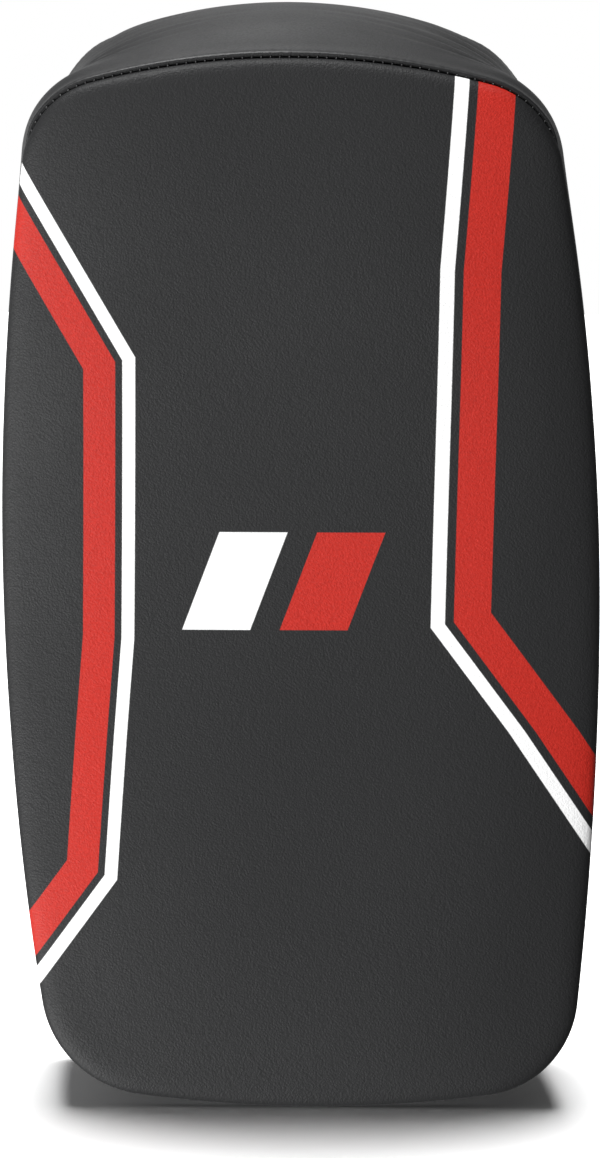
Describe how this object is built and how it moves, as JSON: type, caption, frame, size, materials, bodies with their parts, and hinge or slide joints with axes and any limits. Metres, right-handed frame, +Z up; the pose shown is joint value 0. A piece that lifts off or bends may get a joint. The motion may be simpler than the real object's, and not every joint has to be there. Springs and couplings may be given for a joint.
{
  "type": "thai pad",
  "caption": "Bent strike pad in black leather-look cover with layered foam, forearm cushion, two ring-and-tape arm straps and a padded hand grip.",
  "frame": {"origin": "centre of the flat base that the pad stands on, at mid thickness", "axes": "+Z up the pad, -Y out of the strike face, +Y out of the back where the straps are, +X to the right as seen from the strike face"},
  "size_m": [0.203, 0.228, 0.3764],
  "materials": {
    "face_leather": "pebbled synthetic leather, semi-matte, printed in white and red",
    "body_leather": "pebbled synthetic leather, semi-matte",
    "strap_leather": "smooth synthetic leather, satin",
    "strap_lining": "knitted lining over thin foam",
    "loop_tape": "looped pile tape",
    "hook_tape": "nylon hook tape",
    "soft_foam": "closed-cell foam, soft",
    "core_foam": "closed-cell foam, medium",
    "firm_foam": "closed-cell foam, firm",
    "grip_core": "dense rolled cord",
    "metal": "nickel plated"
  },
  "bodies": {
    "pad": {"face_cover": "face_leather", "side_gusset": "body_leather", "bottom_gusset": "body_leather", "back_cover": "body_leather", "strike_foam": "soft_foam", "core_foam": "core_foam", "back_foam": "firm_foam", "forearm_cushion": "body_leather", "forearm_foam": "soft_foam", "lower_strap_band": "strap_leather", "lower_strap_padding": "strap_lining", "lower_loop_tape": "loop_tape", "lower_strap_patch": "body_leather", "lower_ring_tab": "strap_leather", "lower_ring_patch": "body_leather", "upper_strap_band": "strap_leather", "upper_strap_padding": "strap_lining", "upper_loop_tape": "loop_tape", "upper_strap_patch": "body_leather", "upper_ring_tab": "strap_leather", "upper_ring_patch": "body_leather", "grip_foot_left": "strap_leather", "grip_foot_right": "strap_leather", "grip_patch": "body_leather", "grip_rivets": "metal"},
    "lower_ring": {"lower_ring": "metal", "lower_strap_fold": "strap_leather"},
    "lower_tail": {"lower_strap_tail": "strap_leather", "lower_hook_tape": "hook_tape"},
    "upper_ring": {"upper_ring": "metal", "upper_strap_fold": "strap_leather"},
    "upper_tail": {"upper_strap_tail": "strap_leather", "upper_hook_tape": "hook_tape"},
    "handle": {"grip_core": "grip_core", "grip_padding": "soft_foam", "grip_cover": "strap_leather", "grip_leg_left": "strap_leather", "grip_leg_right": "strap_leather"}
  },
  "joints": [
    {"name": "lower_ring_swing", "type": "hinge", "parent": "pad", "child": "lower_ring", "pos_m": [0.0623, 0.0595, 0.085], "axis": [0, 0, -1], "range_deg": [0, 20]},
    {"name": "lower_tail_lift", "type": "hinge", "parent": "lower_ring", "child": "lower_tail", "pos_m": [0.0623, 0.0775, 0.085], "axis": [0, 0, -1], "range_deg": [0, 110]},
    {"name": "upper_ring_swing", "type": "hinge", "parent": "pad", "child": "upper_ring", "pos_m": [0.0623, 0.05255, 0.22348], "axis": [0, 0.1478, -0.989], "range_deg": [0, 20]},
    {"name": "upper_tail_lift", "type": "hinge", "parent": "upper_ring", "child": "upper_tail", "pos_m": [0.0623, 0.07036, 0.22614], "axis": [0, 0.1478, -0.989], "range_deg": [0, 110]},
    {"name": "grip_rock", "type": "hinge", "parent": "pad", "child": "handle", "pos_m": [0, 0.03718, 0.31592], "axis": [1, 0, 0], "range_deg": [-20, 20], "stiffness_Nm_per_rad": 0.4}
  ]
}
